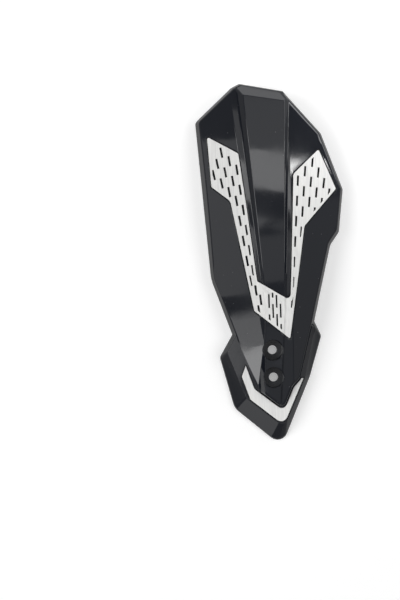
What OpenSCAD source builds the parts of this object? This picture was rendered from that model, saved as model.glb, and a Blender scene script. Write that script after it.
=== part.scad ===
// Motorcycle hand guard, right-hand form: an arched black shell with a raised centre panel, a forked
// white vent insert with rows of slots, and a white chevron insert at the narrow end.
// Origin: midway between the two bolt holes, on the plane where their bosses meet the bracket.
// +Y runs along the bolt line to the wide end, +X to the right, +Z out of the outer face.

/* [Arched skin] */
// Radius of the lengthwise arch of the outer skin
arch_r = 460; // [440:10:520]
// Height of the top of the arch over the mounting plane
arch_h = 28; // [27:0.5:30]
// Distance of the top of the arch from the middle of the bolt holes
arch_y = 115; // [110:1:120]
// Wall thickness of the moulding
wall = 3; // [2.6:0.1:3.2]
// Depth of the rim below the outer skin
rim_depth = 15; // [13:0.5:17]
// Depth of the lowest rim edge below the mounting plane
rim_drop = 12; // [11:0.5:13]
// Inward lean of the side walls, in mm for each mm of height
draft = 0.17; // [0.12:0.01:0.2]

/* [Side panels] */
// Place of the left panel's ridge beside the bolt holes
left_x = -4; // [-5:0.5:-3]
// Angle of the left ridge to the bolt line
left_yaw = -5.7; // [-6.2:0.1:-5.2]
// Fall of the left panel
left_slope = 40; // [38:0.5:42]
// Place of the right panel's ridge beside the bolt holes
right_x = 14.5; // [13.5:0.5:15.5]
// Angle of the right ridge to the bolt line
right_yaw = 1.1; // [0.6:0.1:1.6]
// Fall of the right panel
right_slope = 31; // [30:0.5:33]

/* [Rounded shoulder] */
// Radius of the shoulder left of the bolt holes
shoulder_r = 18; // [17:0.5:19]
// Radius it gains for each mm toward the wide end
shoulder_gain = 0.37; // [0.35:0.01:0.39]
// Place of the shoulder's axis to the left of the bolt line
shoulder_x = -3; // [-4:0.5:-2]
// Height of the shoulder's top line over the mounting plane
shoulder_h = 15.1; // [15:0.1:15.6]
// Rise of that top line toward the wide end
shoulder_rise = 0.2065; // [0.2:0.0005:0.215]

/* [Raised panel] */
// Height of the raised panel over the arch, at its own top
panel_lift = 4.3; // [3.8:0.1:5]
// Distance of its top from the middle of the bolt holes
panel_y = 130; // [126:1:134]
// Place of its left crease, drawn down to the bolt holes
panel_left_x = -0.8; // [-1.4:0.1:-0.4]
// Angle of the left crease
panel_left_yaw = -3.94; // [-4.2:0.02:-3.7]
// Steepness of its left wall
panel_left_slope = 55; // [50:1:60]
// Place of its right crease, drawn down to the bolt holes
panel_right_x = 7.5; // [7:0.1:8]
// Angle of the right crease
panel_right_yaw = 2.34; // [2.1:0.02:2.6]
// Steepness of its right wall
panel_right_slope = 63; // [58:1:66]
// Distance of the crease at its wide end, measured on the bolt line
panel_end_y = 191.4; // [189:0.2:193]
// Turn of the wide end to square
end_yaw = -9.5; // [-11:0.5:-9]
// Lean of the end bevel from upright
end_lean = 40; // [36:1:44]
// Steepness of the raised panel's foot beside the bridge
panel_foot_slope = 50; // [45:1:60]

/* [Spine] */
// Height of the spine over the arch
spine_lift = 1; // [0.8:0.1:1.4]
// Place of the spine's left edge beside the bolt holes
spine_left_x = -5.8; // [-6.2:0.1:-5.4]
// Angle of the spine's left edge to the bolt line
spine_left_yaw = 2; // [1:0.5:3]
// Place of the spine's right edge beside the bolt holes
spine_right_x = 6.4; // [6:0.1:6.8]
// Angle of the spine's right edge
spine_right_yaw = 4.3; // [3.5:0.1:5]
// Steepness of the spine's walls
spine_slope = 60; // [50:1:70]

/* [Bolt seats] */
// Distance between the two bolt holes
bolt_pitch = 20; // [19:0.5:21]
// Diameter of a bolt hole, clear of an M6 screw
bolt_d = 6.5; // [6.4:0.1:6.8]
// Diameter of the well for the bolt head
well_d = 15; // [14:0.5:15.5]
// Thickness of the well's floor
floor_t = 3; // [2.5:0.1:4]
// Wall of the boss round a well
boss_wall = 3; // [2.8:0.1:3.4]
// Thickness of a stiffening rib
rib_t = 2; // [1.6:0.1:2.4]
// Reach of the long rib toward the wide end
rib_y = 52; // [46:1:56]

/* [Flange] */
// Height of the flat ledge over the mounting plane
ledge_h = 2; // [1.5:0.1:2.5]
// Height of the flange's upright rim
flange_rim = 4; // [3:0.5:5]

/* [Inserts] */
// Depth of the pockets that hold the inserts
pocket_depth = 1.6; // [1.4:0.1:1.8]
// Clearance under an insert
seat_gap = 0.1; // [0.1:0.05:0.2]
// Clearance all round an insert
side_gap = 0.6; // [0.3:0.05:0.7]
// Distance of the chevron from the ledge's edge
chevron_margin = 1.1; // [1:0.1:1.4]
// Distance of the chevron from the foot of the hood
hood_gap = 0.9; // [0.8:0.1:1.2]

/* [Slots] */
// Width of a slot
slot_w = 1.5; // [1.2:0.1:1.6]
// Length of a slot
slot_len = 7.5; // [6:0.1:8]
// Distance from one slot to the next along a column
slot_pitch = 14.6; // [13.5:0.1:15.5]
// Distance between columns of slots on the left arm
left_column_pitch = 3.9; // [3.7:0.1:4.2]
// Distance between columns of slots on the right arm
right_column_pitch = 4.6; // [4.3:0.1:5]
// Angle by which each column fans out from the last
column_fan = 1.1; // [0.8:0.1:1.3]
// Width of a slot on the bridge
bridge_slot_w = 1.2; // [0.9:0.1:1.3]
// Length of a slot on the bridge
bridge_slot_len = 10; // [8:0.1:10.5]
// Distance between columns of slots on the bridge
bridge_column_pitch = 2.7; // [2.6:0.1:3.2]
// Solid edge left round the slots
slot_edge = 1.6; // [1.3:0.1:2]

/* [Hidden] */
table_z = -rim_drop;
insert_t = pocket_depth - seat_gap;
boss_r = well_d / 2 + boss_wall;
far = 400;
smooth = 256;
corner_steps = 6;
// How far the spine runs on under the raised panel
spine_overlap = 10;
// A slot stays where either of two points this share of its length from its middle is inside the edge
slot_keep = 0.3;
slot_rows = ceil(panel_end_y / slot_pitch);
panel_top = arch_h + panel_lift;
panel_end_h = panel_top - arch_r + sqrt(arch_r * arch_r - (panel_end_y - panel_y) * (panel_end_y - panel_y));

// Corners as [x, y, radius], anticlockwise. Outline of the main body at the rim, with the hood at its foot
body_corners = [
    [-16.3, 207.9, 1.5], [-24.1, 204.2, 3], [-49.2, 179.4, 4], [-42.4, 63.3, 30], [-28.7, 22.5, 20],
    [-15.5, -19.2, 5], [7.3, -37.7, 4], [16, -18.8, 8], [21.3, -13.5, 6], [33.1, 28.4, 6],
    [47.4, 84.6, 8], [53.9, 94.2, 8], [57.9, 125.7, 2.5], [43.9, 167.8, 5], [17.2, 200.9, 2]];
// Outline of the flange at the rim
flange_corners = [
    [-38.5, 5.6, 4], [-29.2, -32.5, 12], [4.6, -62.1, 7.5], [27.7, -11.1, 25], [37.3, 18.4, 4],
    [25.5, 45.8, 4], [-20, 36, 4]];
// The same corners at the ledge, inside the sloping band
ledge_corners = [
    [-33, 9.6, 3], [-20.6, -24.6, 4], [6.5, -47.2, 4.8], [22.8, -12.5, 20], [32, 25, 3],
    [23, 44, 3], [-19, 33.5, 3]];
// Forked outline of the vent insert
vent_corners = [
    [-19.3, 152.3, 2], [-41, 167, 1], [-39.3, 130.3, 1.5], [-26.3, 118.8, 6], [-12.4, 39, 1],
    [12.6, 17.8, 0.6], [26.2, 98.6, 5], [51.2, 125.2, 1.5], [39.3, 154, 1], [19.6, 136, 3],
    [13.8, 45.3, 2.6], [-9.6, 60.2, 1]];
// Span of the chevron insert: its two ends, the outer edge of its left leg, and all below
chevron_span = [[-19.8, -0.8], [-23, -8.8], [-17.2, -26.8], [-30, -60], [40, -60], [40, -11.7], [12, -11.7]];
// Middle of one slot in each field, with the lean of its column
left_field = [-19, 126.3, 6.5];
right_field = [21.4, 116.6, -5.1];
bridge_field = [1, 38.4, 0];

function unit(v) = v / norm(v);
function cross2(a, b) = a.x * b.y - a.y * b.x;
function flat(p) = [p.x, p.y];
function before(c, i) = unit(flat(c[i]) - flat(c[(i + len(c) - 1) % len(c)]));
function after(c, i) = unit(flat(c[(i + 1) % len(c)]) - flat(c[i]));

// The corners with every side moved inward by d
function moved(c, d) = [for (i = [0 : len(c) - 1])
    let (a = before(c, i), b = after(c, i), p = flat(c[i]) + d * (b - a) / cross2(a, b))
    [p.x, p.y, c[i][2]]];

// The outline with each corner rounded to its radius
function outline(c) = [for (i = [0 : len(c) - 1])
    let (a = before(c, i), b = after(c, i), turn = atan2(cross2(a, b), a * b), s = sign(turn),
         start = flat(c[i]) - a * c[i][2] * tan(abs(turn) / 2),
         mid = start + s * c[i][2] * [-a.y, a.x], arm = start - mid)
    for (k = [0 : corner_steps])
        let (t = turn * k / corner_steps)
        mid + [arm.x * cos(t) - arm.y * sin(t), arm.x * sin(t) + arm.y * cos(t)]];

function ring(c, z) = [for (p = outline(c)) [p.x, p.y, z]];

// A solid through rings of points that all have the same count, from the lowest up
module lofted(rings) {
    n = len(rings[0]);
    polyhedron(
        points = [for (r = rings) each r],
        faces = concat(
            [[for (i = [0 : n - 1]) i]],
            [for (k = [0 : len(rings) - 2], i = [0 : n - 1])
                let (j = (i + 1) % n, o = k * n) each [[o + i, o + i + n, o + j + n], [o + i, o + j + n, o + j]]],
            [[for (i = [n - 1 : -1 : 0]) (len(rings) - 1) * n + i]]));
}

// A face that follows the arch and falls sideways from a ridge line, as one huge cylinder
module arched(x, yaw, slope, lift, peak_y, inset) {
    r = arch_r / cos(slope);
    translate([x + tan(yaw) * peak_y, peak_y, arch_h + lift])
        rotate([0, 0, -yaw])
            rotate([0, slope, 0])
                translate([0, 0, -r])
                    rotate([0, 90, 0])
                        cylinder(h = far, r = r - inset, center = true, $fn = smooth);
}

// Everything beyond a leaning plane, on its +Y side
module beyond(at, yaw, lean, inset) {
    translate(at)
        rotate([0, 0, yaw])
            rotate([-lean, 0, 0])
                translate([-far / 2, inset, -far / 2])
                    cube(far);
}

// The rounded shoulder left of the bolt holes: a cone from near its tip to past the wide end, open to the right
module shoulder(inset) {
    pitch = atan(shoulder_gain - shoulder_rise);
    low = (2 * wall - shoulder_r) / shoulder_gain;
    high = 1.3 * panel_end_y;
    translate([shoulder_x, 0, shoulder_h - shoulder_r])
        rotate([-90 - pitch, 0, 0])
            translate([0, 0, low])
                cylinder(h = high - low, r1 = shoulder_r + shoulder_gain * low - inset,
                    r2 = shoulder_r + shoulder_gain * high - inset, $fn = smooth);
    translate([shoulder_x, -far / 2, -far / 2])
        cube(far);
}

module roof(inset) {
    intersection() {
        arched(0, 0, 0, 0, arch_y, inset);
        arched(left_x, left_yaw, -left_slope, 0, arch_y, inset);
        arched(right_x, right_yaw, right_slope, 0, arch_y, inset);
        shoulder(inset);
    }
}

module raised_panel(inset) {
    intersection() {
        arched(0, 0, 0, panel_lift, panel_y, inset);
        arched(panel_left_x, panel_left_yaw, -panel_left_slope, panel_lift, panel_y, inset);
        arched(panel_right_x, panel_right_yaw, panel_right_slope, panel_lift, panel_y, inset);
        beyond([0, panel_foot_y(), arch_h], bridge_yaw(), panel_foot_slope, inset);
    }
}

// The line of the bridge's upper edge, from the vent insert's own corners
function bridge_yaw() = let (a = vent_corners[11], b = vent_corners[10]) atan2(b.y - a.y, b.x - a.x);
function panel_foot_y() = let (a = vent_corners[11]) a.y - a.x * tan(bridge_yaw()) + side_gap;

module spine(inset) {
    intersection() {
        arched(0, 0, 0, spine_lift, arch_y, inset);
        arched(spine_left_x, spine_left_yaw, -spine_slope, spine_lift, arch_y, inset);
        arched(spine_right_x, spine_right_yaw, spine_slope, spine_lift, arch_y, inset);
        translate([-far / 2, panel_foot_y() + spine_overlap - far, -far / 2])
            cube(far);
    }
}

module skin(inset) {
    roof(inset);
    raised_panel(inset);
    spine(inset);
}

// The main body as a solid, shrunk by an inset
module body(inset, bottom) {
    intersection() {
        lofted([for (z = [bottom, panel_top + wall]) ring(moved(body_corners, inset + draft * (z - table_z)), z)]);
        skin(inset);
        mirror([0, 1, 0])
            beyond([0, -panel_end_y, panel_end_h], -end_yaw, end_lean, inset);
    }
}

// The flange as a solid: upright rim, sloping band, flat ledge
module flange(inset, bottom) {
    rim_z = table_z + flange_rim;
    lofted([
        ring(moved(flange_corners, inset), bottom),
        ring(moved(flange_corners, inset + draft * flange_rim), rim_z),
        ring(moved(ledge_corners, inset / 2), ledge_h - inset)]);
}

module bolt_places() {
    for (y = [-bolt_pitch / 2, bolt_pitch / 2])
        translate([0, y, 0])
            children();
}

// Bosses under the two wells and the ribs that tie them to the walls
module bosses_and_ribs() {
    bolt_places() {
        cylinder(h = arch_h, r = boss_r, $fn = 96);
        translate([-far / 4, -rib_t / 2, 0])
            cube([far / 2, rib_t, arch_h]);
    }
    translate([-rib_t / 2, 0, 0])
        cube([rib_t, rib_y, arch_h]);
}

module wells() {
    bolt_places() {
        translate([0, 0, floor_t])
            cylinder(h = arch_h, d = well_d, $fn = 96);
        translate([0, 0, -1])
            cylinder(h = floor_t + 2, d = bolt_d, $fn = 64);
    }
}

module vent_outline(grow) {
    polygon(outline(moved(vent_corners, -grow)));
}

module chevron_outline(grow) {
    intersection() {
        polygon([for (p = moved(chevron_span, -grow)) flat(p)]);
        difference() {
            polygon(outline(moved(ledge_corners, chevron_margin - grow)));
            polygon(outline(moved(body_corners, draft * (ledge_h - table_z) - hood_gap + grow)));
        }
    }
}

module pockets() {
    difference() {
        linear_extrude(2 * arch_h)
            vent_outline(side_gap);
        skin(pocket_depth);
    }
    translate([0, 0, ledge_h - pocket_depth])
        linear_extrude(arch_h)
            chevron_outline(side_gap);
}

module shell() {
    color([0.17, 0.18, 0.2])
        difference() {
            union() {
                difference() {
                    union() {
                        difference() {
                            body(0, table_z);
                            translate([0, 0, -rim_depth])
                                roof(0);
                        }
                        flange(0, table_z);
                    }
                    body(wall, table_z - 1);
                    flange(wall, table_z - 1);
                }
                intersection() {
                    bosses_and_ribs();
                    body(wall / 2, table_z - 1);
                }
            }
            wells();
            pockets();
        }
}

// True for a point inside a closed outline
function inside(p, c) = len([for (i = [0 : len(c) - 1])
    let (a = c[i], b = c[(i + 1) % len(c)])
    if ((a.y > p.y) != (b.y > p.y) && p.x < a.x + (b.x - a.x) * (p.y - a.y) / (b.y - a.y)) i]) % 2 == 1;

// Columns of slots side by side, each half a pitch off the last, without those that lie mostly outside
module slot_field(field, edge, w, length, columns, column_step, fan) {
    across = [cos(field[2]), sin(field[2])];
    places = [for (i = [columns[0] : columns[1]], j = [-slot_rows : slot_rows])
        let (lean = field[2] - fan * i, along = [-sin(lean), cos(lean)], row = j + (i % 2 == 0 ? 0 : 0.5),
             middle = flat(field) + i * column_step * across + row * slot_pitch * along,
             reach = slot_keep * length * along)
        if (inside(middle + reach, edge) || inside(middle - reach, edge)) [middle.x, middle.y, lean]];
    for (place = places)
        translate(flat(place))
            rotate(place[2])
                square([w, length], center = true);
}

module slots() {
    edge = outline(moved(vent_corners, slot_edge));
    intersection() {
        polygon(edge);
        union() {
            slot_field(left_field, edge, slot_w, slot_len, [-4, 1], left_column_pitch, column_fan);
            slot_field(right_field, edge, slot_w, slot_len, [0, 5], right_column_pitch, column_fan);
            slot_field(bridge_field, edge, bridge_slot_w, bridge_slot_len, [-1, 2], bridge_column_pitch, 0);
        }
    }
}

// The vent insert before its slots are cut: the outermost layer of the skin, inside the forked outline
module vent_blank() {
    difference() {
        intersection() {
            linear_extrude(2 * arch_h)
                vent_outline(0);
            skin(0);
        }
        skin(insert_t);
    }
}

module vent_insert() {
    color([0.91, 0.91, 0.92])
        difference() {
            vent_blank();
            linear_extrude(2 * arch_h)
                slots();
        }
}

module chevron_insert() {
    color([0.91, 0.91, 0.92])
        translate([0, 0, ledge_h - insert_t])
            linear_extrude(insert_t)
                chevron_outline(0);
}

shell();
vent_insert();
chevron_insert();
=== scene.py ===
"""A black motorcycle hand guard with white vent and chevron inserts, lying outer face up."""

import math

import bmesh
import bpy
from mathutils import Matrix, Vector
from mathutils.bvhtree import BVHTree


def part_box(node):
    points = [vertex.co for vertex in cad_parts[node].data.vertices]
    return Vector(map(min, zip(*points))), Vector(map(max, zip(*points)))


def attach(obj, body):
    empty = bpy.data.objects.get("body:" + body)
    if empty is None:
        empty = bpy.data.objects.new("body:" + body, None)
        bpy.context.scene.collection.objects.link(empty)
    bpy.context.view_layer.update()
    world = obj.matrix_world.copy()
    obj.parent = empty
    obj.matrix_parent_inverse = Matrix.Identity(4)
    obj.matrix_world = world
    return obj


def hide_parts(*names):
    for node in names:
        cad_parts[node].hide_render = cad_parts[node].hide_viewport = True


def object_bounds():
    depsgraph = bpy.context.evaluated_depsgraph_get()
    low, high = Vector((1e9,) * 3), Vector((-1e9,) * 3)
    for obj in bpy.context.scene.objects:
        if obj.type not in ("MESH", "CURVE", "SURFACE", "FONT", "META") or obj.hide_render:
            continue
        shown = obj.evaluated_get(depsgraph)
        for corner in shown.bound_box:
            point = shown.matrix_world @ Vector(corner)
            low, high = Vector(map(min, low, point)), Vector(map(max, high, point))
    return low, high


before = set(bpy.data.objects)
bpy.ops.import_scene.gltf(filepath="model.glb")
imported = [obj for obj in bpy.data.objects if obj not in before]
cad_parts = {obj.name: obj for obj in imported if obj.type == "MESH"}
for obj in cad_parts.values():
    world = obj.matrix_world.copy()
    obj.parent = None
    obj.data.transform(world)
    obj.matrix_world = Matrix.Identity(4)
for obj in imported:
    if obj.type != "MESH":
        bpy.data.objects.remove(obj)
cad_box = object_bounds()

# Shell
# The real piece is one injection moulding in black polypropylene: an arched shield with a raised centre
# panel, sloping sides, a rim all round and two wells for the mounting screws. It comes out of a polished
# tool, so the outer face is glossy. Its outer rim is well rounded, and most other edges only just.
MM = 0.001

# The outer rim's radius beside the wide end, along the sides, and where the flange is lowest at the left
RIM_RADIUS = 1.7 * MM
SIDE_RIM_RADIUS = 1.2 * MM
LOW_RIM_RADIUS = 0.3 * MM
WIDE_END_X, WIDE_END_Y = 14 * MM, 160 * MM
LOW_RIM_Z = 2.2 * MM

# The soft spine left of the wells, between two values of x
SPINE_RADIUS = 1.7 * MM
SPINE_X = (-13 * MM, -3 * MM)
SPINE_END_Y = 37 * MM
SPINE_MIN_RISE = 0.6

# The narrow lands beside the chevron's pocket, and every other edge
LAND_EDGE_RADIUS = 0.1 * MM
LEDGE_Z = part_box("chevron_insert")[1][2]
ON_LEDGE = 0.05 * MM
SHELL_EDGE_RADIUS = 0.4 * MM

# Edges that turn by more than this are rounded, and what turns by less is shaded smooth
SHARP_EDGE = math.radians(20)
# Height of a face's unit normal: at least this on the outer skin, and between these on a leaning side wall
SKIN_MIN_RISE = 0.45
WALL_RISE = (0.1, 0.3)
# A band this wide along the rim is kept clear for its radius: creases there up to this turn are taken out
CLEAR_BAND = 1.2 * RIM_RADIUS
CREASE_TURN = math.radians(6)
# A point farther than this from the moulding has strayed, and a distance like this counts as none
STRAY = 0.6 * MM
HAIR = 0.01 * MM


def select_only(piece):
    bpy.ops.object.select_all(action="DESELECT")
    piece.select_set(True)
    bpy.context.view_layer.objects.active = piece


def merged_copy(node, name):
    """A copy of a CAD node with its loose triangles merged and flat faces made whole."""
    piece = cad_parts[node].copy()
    piece.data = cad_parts[node].data.copy()
    piece.name = name
    bpy.context.collection.objects.link(piece)
    piece.parent = None
    select_only(piece)
    bpy.ops.object.mode_set(mode="EDIT")
    bpy.ops.mesh.select_all(action="SELECT")
    bpy.ops.mesh.remove_doubles(threshold=HAIR)
    bpy.ops.mesh.dissolve_limited(angle_limit=math.radians(0.3))
    bpy.ops.object.mode_set(mode="OBJECT")
    return piece


def on_outer_rim(edge):
    """True where a face of the outer skin turns into the leaning wall round the shell."""
    rises = sorted(face.normal.z for face in edge.link_faces)
    if len(rises) != 2 or not edge.is_convex:
        return False
    return rises[1] > SKIN_MIN_RISE and WALL_RISE[0] < rises[0] < WALL_RISE[1]


def wall_normal(edge):
    return min((face.normal for face in edge.link_faces), key=lambda normal: normal.z)


def clear_beside_rim(piece, band):
    """Cuts the skin along the rim, a band's width in, and clears what meets the rim there at a slant."""
    mesh = bmesh.new()
    mesh.from_mesh(piece.data)

    # The rim's edges, sorted by the plane of the wall below them
    walls = {}
    for edge in mesh.edges:
        if on_outer_rim(edge):
            out = wall_normal(edge)
            key = (round(out.x, 2), round(out.y, 2), round(out.dot(edge.verts[0].co), 3))
            walls.setdefault(key, []).append(edge)

    # Each long wall's normal, its plane's level, the way along it and how far it reaches
    reaches = []
    for edges in walls.values():
        out = wall_normal(edges[0]).copy()
        along = out.cross(Vector((0, 0, 1))).normalized()
        ends = [along.dot(corner.co) for edge in edges for corner in edge.verts]
        if max(ends) - min(ends) > 2 * band:
            reaches.append((out, out.dot(edges[0].verts[0].co), along, min(ends) - band, max(ends) + band))

    def within(point, reach, share):
        """True where a point is behind the wall by less than this share of the band."""
        out, level, along, low, high = reach
        return -share * band < out.dot(point) - level < HAIR and low < along.dot(point) < high

    for reach in reaches:
        out, level = reach[:2]
        faces = [face for face in mesh.faces if face.normal.z > SKIN_MIN_RISE
                 and any(within(corner.co, reach, 1.001) for corner in face.verts)]
        geometry = set(faces)
        for face in faces:
            geometry.update(face.edges)
            geometry.update(face.verts)
        bmesh.ops.bisect_plane(mesh, geom=list(geometry), dist=HAIR,
                               plane_co=out * (level - band), plane_no=out)

    slanted = []
    for edge in mesh.edges:
        if len(edge.link_faces) != 2 or wall_normal(edge).z < SKIN_MIN_RISE:
            continue
        if edge.calc_face_angle() > CREASE_TURN:
            continue
        start, end = (corner.co for corner in edge.verts)
        lie = (end - start).normalized()
        if any(within((start + end) / 2, reach, 0.98) and abs(lie.dot(reach[2])) > 0.5 for reach in reaches):
            slanted.append(edge)
    bmesh.ops.dissolve_edges(mesh, edges=slanted, use_verts=False, use_face_split=False)
    mesh.to_mesh(piece.data)
    mesh.free()


def round_edges(piece, widest, radius_of):
    """Bevels each sharp edge by its own radius, up to the widest, and shades what is left evenly."""
    mesh = bmesh.new()
    mesh.from_mesh(piece.data)
    weight = mesh.edges.layers.float.new("bevel_weight_edge")
    for edge in mesh.edges:
        if len(edge.link_faces) == 2 and edge.calc_face_angle() > SHARP_EDGE:
            edge[weight] = radius_of(edge) / widest
    mesh.to_mesh(piece.data)
    mesh.free()
    rounding = piece.modifiers.new("moulded radius", "BEVEL")
    rounding.width = widest
    rounding.segments = 4
    rounding.limit_method = "WEIGHT"
    rounding.use_clamp_overlap = False
    rounding.loop_slide = False
    select_only(piece)
    bpy.ops.object.modifier_apply(modifier=rounding.name)
    bpy.ops.object.shade_smooth_by_angle(angle=SHARP_EDGE)
    shading = piece.modifiers.new("even shading", "WEIGHTED_NORMAL")
    shading.keep_sharp = True
    bpy.ops.object.modifier_apply(modifier=shading.name)


def put_back_strays(piece, node):
    """Where three radii meet in a tight corner, a point can stray: it goes back onto the moulding's skin.
    None stays below the moulding's foot."""
    moulding = bmesh.new()
    moulding.from_mesh(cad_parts[node].data)
    skin = BVHTree.FromBMesh(moulding)
    moulding.free()
    foot_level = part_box(node)[0][2]
    for corner in piece.data.vertices:
        on_skin, _, _, gap = skin.find_nearest(corner.co)
        if gap > STRAY:
            corner.co = on_skin
        corner.co.z = max(corner.co.z, foot_level)


def make_of(piece, material):
    piece.data.materials.clear()
    piece.data.materials.append(material)


def linear(hex_colour):
    """An sRGB hex colour as linear red, green, blue and an alpha of 1."""
    parts = [int(hex_colour[i:i + 2], 16) / 255 for i in (1, 3, 5)]
    return [p / 12.92 if p <= 0.04045 else ((p + 0.055) / 1.055) ** 2.4 for p in parts] + [1]


def add_node(tree, kind, settings=None, in_order=(), **named):
    """A node with its settings. Its inputs, by order or by name, are linked to a socket or set to a value."""
    node = tree.nodes.new(kind)
    for key, value in (settings or {}).items():
        setattr(node, key, value)
    by_name = [(node.inputs[key.replace("_", " ")], value) for key, value in named.items()]
    for socket, value in list(zip(node.inputs, in_order)) + by_name:
        if isinstance(value, bpy.types.NodeSocket):
            tree.links.new(value, socket)
        else:
            socket.default_value = value
    return node


def glossy_black_polypropylene():
    """Black PP out of a polished steel tool: a blue-black body under a sharp gloss that wavers a little,
    with a haze where hands rub it, fine wiping scratches, edges polished paler and a few specks of dust."""
    material = bpy.data.materials.new("glossy_black_polypropylene")
    material.use_nodes = True
    tree = material.node_tree
    shader = tree.nodes["Principled BSDF"]
    shader.inputs["IOR"].default_value = 1.5
    place = add_node(tree, "ShaderNodeTexCoord").outputs["Object"]

    # Haze in patches of 30 mm and wiping scratches 0.4 mm apart, drawn coarser than real ones so they show
    haze = add_node(tree, "ShaderNodeTexNoise", Vector=place, Scale=33.0, Detail=4.0)
    rough = add_node(tree, "ShaderNodeMapRange", Value=haze.outputs["Fac"],
                     From_Min=0.35, From_Max=0.7, To_Min=0.05, To_Max=0.11)
    stretched = add_node(tree, "ShaderNodeMapping", Vector=place, Scale=(260.0, 2500.0, 260.0),
                         Rotation=(0, 0, math.radians(35)))
    wiping = add_node(tree, "ShaderNodeTexNoise", Vector=stretched.outputs["Vector"], Scale=1.0, Detail=2.0)
    scratch = add_node(tree, "ShaderNodeMapRange", Value=wiping.outputs["Fac"],
                       From_Min=0.66, From_Max=0.76, To_Max=0.1)
    total = add_node(tree, "ShaderNodeMath", {"operation": "ADD"},
                     (rough.outputs["Result"], scratch.outputs["Result"]))
    tree.links.new(total.outputs["Value"], shader.inputs["Roughness"])

    # Edges rub paler, and dust specks of about half a millimetre lie on the face
    pointiness = add_node(tree, "ShaderNodeNewGeometry").outputs["Pointiness"]
    edge = add_node(tree, "ShaderNodeMapRange", Value=pointiness, From_Min=0.52, From_Max=0.6)
    worn = add_node(tree, "ShaderNodeMix", {"data_type": "RGBA"}, Factor=edge.outputs["Result"],
                    A=linear("#15181f"), B=linear("#34373d"))
    speck = add_node(tree, "ShaderNodeTexVoronoi", {"feature": "F1"}, Vector=place, Scale=160.0,
                     Randomness=1.0)
    dust = add_node(tree, "ShaderNodeMapRange", Value=speck.outputs["Distance"],
                    From_Min=0.035, From_Max=0.06, To_Min=0.3, To_Max=0.0)
    colour = add_node(tree, "ShaderNodeMix", {"data_type": "RGBA"}, Factor=dust.outputs["Result"],
                      A=worn.outputs["Result"], B=linear("#8a8b8c"))
    tree.links.new(colour.outputs["Result"], shader.inputs["Base Color"])

    # The moulded face sinks and swells by a few hundredths over 12 mm
    swell = add_node(tree, "ShaderNodeTexNoise", Vector=place, Scale=80.0, Detail=1.0)
    bump = add_node(tree, "ShaderNodeBump", Strength=0.35, Distance=0.05 * MM, Height=swell.outputs["Fac"])
    tree.links.new(bump.outputs["Normal"], shader.inputs["Normal"])
    return material


def shell_radius(edge):
    """The rim is rounded most, above all beside the wide end, and the lands beside the chevron least."""
    corners = [corner.co for corner in edge.verts]
    if on_outer_rim(edge):
        if all(co.x < 0 and co.z < LOW_RIM_Z for co in corners):
            return LOW_RIM_RADIUS
        beside_wide_end = all(co.x > WIDE_END_X and co.y > WIDE_END_Y for co in corners)
        return RIM_RADIUS if beside_wide_end else SIDE_RIM_RADIUS
    near_spine = all(SPINE_X[0] < co.x < SPINE_X[1] and co.y < SPINE_END_Y for co in corners)
    if near_spine and edge.is_convex and all(face.normal.z > SPINE_MIN_RISE for face in edge.link_faces):
        return SPINE_RADIUS
    on_ledge = all(abs(co.z - LEDGE_Z) < ON_LEDGE for co in corners)
    return LAND_EDGE_RADIUS if on_ledge else SHELL_EDGE_RADIUS


shell = merged_copy("shell", "shell_moulding")
clear_beside_rim(shell, CLEAR_BAND)
round_edges(shell, RIM_RADIUS, shell_radius)
put_back_strays(shell, "shell")
make_of(shell, glossy_black_polypropylene())
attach(shell, "root")
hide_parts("shell")

# Vent insert
# The real piece is a thin white moulding in the shape of a fork, let into a pocket of the shell, with rows
# of slots that run along each arm.
INSERT_EDGE_RADIUS = 0.2 * MM


def satin_white_polypropylene():
    """White PP out of a finely eroded tool: a satin face with a fine grain, and faint grey streaks that run
    along the arms."""
    material = bpy.data.materials.new("satin_white_polypropylene")
    material.use_nodes = True
    tree = material.node_tree
    shader = tree.nodes["Principled BSDF"]
    shader.inputs["IOR"].default_value = 1.5
    place = add_node(tree, "ShaderNodeTexCoord").outputs["Object"]

    # Faint grey streaks along the arms, 1.2 mm apart and about 25 mm long
    drawn = add_node(tree, "ShaderNodeMapping", Vector=place, Scale=(800.0, 40.0, 800.0))
    streak_noise = add_node(tree, "ShaderNodeTexNoise", Vector=drawn.outputs["Vector"], Scale=1.0, Detail=2.0)
    streak = add_node(tree, "ShaderNodeMapRange", Value=streak_noise.outputs["Fac"], From_Min=0.42, From_Max=0.75)
    colour = add_node(tree, "ShaderNodeMix", {"data_type": "RGBA"}, Factor=streak.outputs["Result"],
                      A=linear("#efefed"), B=linear("#e0e0df"))
    tree.links.new(colour.outputs["Result"], shader.inputs["Base Color"])

    # Gloss that changes in patches of 12 mm
    haze = add_node(tree, "ShaderNodeTexNoise", Vector=place, Scale=80.0, Detail=3.0)
    rough = add_node(tree, "ShaderNodeMapRange", Value=haze.outputs["Fac"], To_Min=0.42, To_Max=0.58)
    tree.links.new(rough.outputs["Result"], shader.inputs["Roughness"])

    # An eroded grain of 1 mm, drawn coarser than the real 0.05 mm so it shows
    grain = add_node(tree, "ShaderNodeTexNoise", Vector=place, Scale=1000.0, Detail=1.0)
    bump = add_node(tree, "ShaderNodeBump", Strength=0.3, Distance=0.03 * MM, Height=grain.outputs["Fac"])
    tree.links.new(bump.outputs["Normal"], shader.inputs["Normal"])
    return material


white = satin_white_polypropylene()
vent = merged_copy("vent_insert", "vent_insert_moulding")
round_edges(vent, INSERT_EDGE_RADIUS, lambda edge: INSERT_EDGE_RADIUS)
make_of(vent, white)
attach(vent, "root")
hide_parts("vent_insert")

# Chevron insert
# The real piece is a second white moulding, a flat V let into the ledge round the foot of the hood.
# It has the material and the edges of the vent insert.
chevron = merged_copy("chevron_insert", "chevron_moulding")
round_edges(chevron, INSERT_EDGE_RADIUS, lambda edge: INSERT_EDGE_RADIUS)
make_of(chevron, white)
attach(chevron, "root")
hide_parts("chevron_insert")

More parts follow.
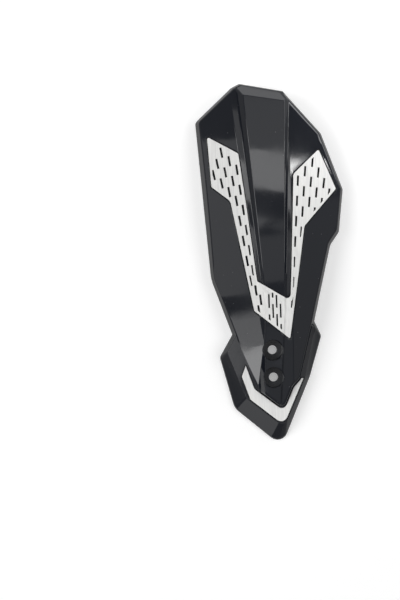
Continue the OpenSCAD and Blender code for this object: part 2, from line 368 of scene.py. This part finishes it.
# Studio
# A white table under the guard, soft boxes round it and a camera that looks straight down from 1.2 m.
# The camera stands off to the left, so the guard lies in the right half of the picture.
TABLE_Z = cad_box[0][2]
TABLE_SIZE = 4
CAMERA_HEIGHT = 1.2
CAMERA_X = -51.2 * MM
CAMERA_Y = 48.6 * MM
CAMERA_TURN = math.radians(-2.5)
# How much of the table the picture's height takes in
VIEW_HEIGHT = 444 * MM
SENSOR = 36.0
# How much the table glows to the camera, and the share of that in the shell's reflections, which stay dark
TABLE_GLOW = 0.35
MIRRORED_SHARE = 0.2
# Brightness of the room as a light; the camera sees it white
ROOM_LIGHT = 0.22

eye_data = bpy.data.cameras.new("eye")
eye = bpy.data.objects.new("eye", eye_data)
bpy.context.collection.objects.link(eye)
eye.location = (CAMERA_X, CAMERA_Y, TABLE_Z + CAMERA_HEIGHT)
eye.rotation_euler = (0, 0, CAMERA_TURN)
eye_data.sensor_width = SENSOR
eye_data.lens = SENSOR * CAMERA_HEIGHT / VIEW_HEIGHT
bpy.context.scene.camera = eye

bpy.ops.mesh.primitive_plane_add(size=TABLE_SIZE, location=(0, 0, TABLE_Z))
table = bpy.context.object
table.name = "table"
paper = bpy.data.materials.new("white_paper")
paper.use_nodes = True
tree = paper.node_tree
sheet = tree.nodes["Principled BSDF"]
sheet.inputs["Roughness"].default_value = 0.9
sheet.inputs["Specular IOR Level"].default_value = 0
sheet.inputs["Emission Color"].default_value = (1, 1, 1, 1)
# 1 for a ray from the camera, a share of that for a mirrored or refracted one, and 0 for all others
ray = add_node(tree, "ShaderNodeLightPath")
mirrored = add_node(tree, "ShaderNodeMath", {"operation": "MAXIMUM"},
                    (ray.outputs["Is Glossy Ray"], ray.outputs["Is Transmission Ray"]))
direct = add_node(tree, "ShaderNodeMath", {"operation": "MULTIPLY_ADD"},
                  (mirrored.outputs["Value"], MIRRORED_SHARE, ray.outputs["Is Camera Ray"]))
glow = add_node(tree, "ShaderNodeMath", {"operation": "MULTIPLY"}, (TABLE_GLOW, direct.outputs["Value"]))
tree.links.new(glow.outputs["Value"], sheet.inputs["Emission Strength"])
tone = add_node(tree, "ShaderNodeMix", {"data_type": "RGBA"}, Factor=direct.outputs["Value"],
                A=linear("#5c5c5c"), B=linear("#e4e4e4"))
tree.links.new(tone.outputs["Result"], sheet.inputs["Base Color"])
make_of(table, paper)

world = bpy.data.worlds.new("studio")
bpy.context.scene.world = world
world.use_nodes = True
tree = world.node_tree
sky = tree.nodes["Background"]
sky.inputs["Color"].default_value = (1, 1, 1, 1)
glance = add_node(tree, "ShaderNodeLightPath")
strength = add_node(tree, "ShaderNodeMath", {"operation": "MULTIPLY_ADD"},
                    (glance.outputs["Is Camera Ray"], 1 - ROOM_LIGHT, ROOM_LIGHT))
tree.links.new(strength.outputs["Value"], sky.inputs["Strength"])


def soft_box(name, place, width, height, radiance, target=(0, 0.07, 0)):
    """An area lamp of a given brightness that faces the target, by default the guard's middle."""
    data = bpy.data.lights.new(name, "AREA")
    data.shape = "RECTANGLE"
    data.size = width
    data.size_y = height
    data.energy = radiance * 4 * width * height
    lamp = bpy.data.objects.new(name, data)
    bpy.context.collection.objects.link(lamp)
    lamp.location = place
    lamp.rotation_euler = (Vector(place) - Vector(target)).to_track_quat("Z", "Y").to_euler()
    lamp.visible_camera = False


# Above: the raised panel, the hood and the chevron's ledge mirror these
soft_box("overhead_box", (0.10, 0.31, 1.6), 0.5, 0.24, 2.4)
soft_box("overhead_end_box", (0.10, 0.64, 1.6), 0.6, 0.4, 0.6)
soft_box("overhead_foot_box", (0.08, -0.26, 1.6), 0.4, 0.3, 0.4)
soft_box("ledge_box", (-0.09, -0.07, 1.6), 0.2, 0.3, 1.2)
soft_box("right_ledge_box", (0.16, -0.06, 1.6), 0.1, 0.16, 0.45)
soft_box("hood_box", (0.09, -1.0, 1.6), 0.4, 0.7, 0.2)

# From both sides: these light the white inserts
soft_box("left_fill_box", (-1.0, 0.1, 1.3), 0.9, 0.9, 3.8)
soft_box("right_fill_box", (1.0, 0.1, 1.3), 0.8, 0.8, 2.7)

# Low down: each sloping face mirrors its own
soft_box("right_side_box", (1.7, -0.4, 0.7), 1.3, 0.7, 0.2)
soft_box("left_panel_box", (-2.0, -0.03, 0.36), 0.92, 0.5, 0.6)
soft_box("shoulder_box", (-1.87, -0.67, 0.33), 0.2, 0.5, 1.4)
soft_box("barrel_box", (-1.76, -0.9, 0.33), 0.3, 0.5, 3.8)
soft_box("flange_box", (-1.2, -1.6, 0.22), 0.8, 0.4, 0.7)

# Small ones for the bright wedge on the right panel, the bevelled end and the rim beside it
soft_box("right_panel_box", (1.64, 0.405, 0.78), 0.08, 0.08, 20, target=(0.02, 0.14, 0.02))
soft_box("end_strip", (0.0, 0.287, 0.028), 0.3, 0.08, 0.8, target=(0, 0.2, 0.02))
soft_box("corner_strip", (0.2, 0.27, 0.035), 0.24, 0.09, 3.4, target=(0.04, 0.17, 0.02))

bpy.context.scene.view_settings.view_transform = "Standard"
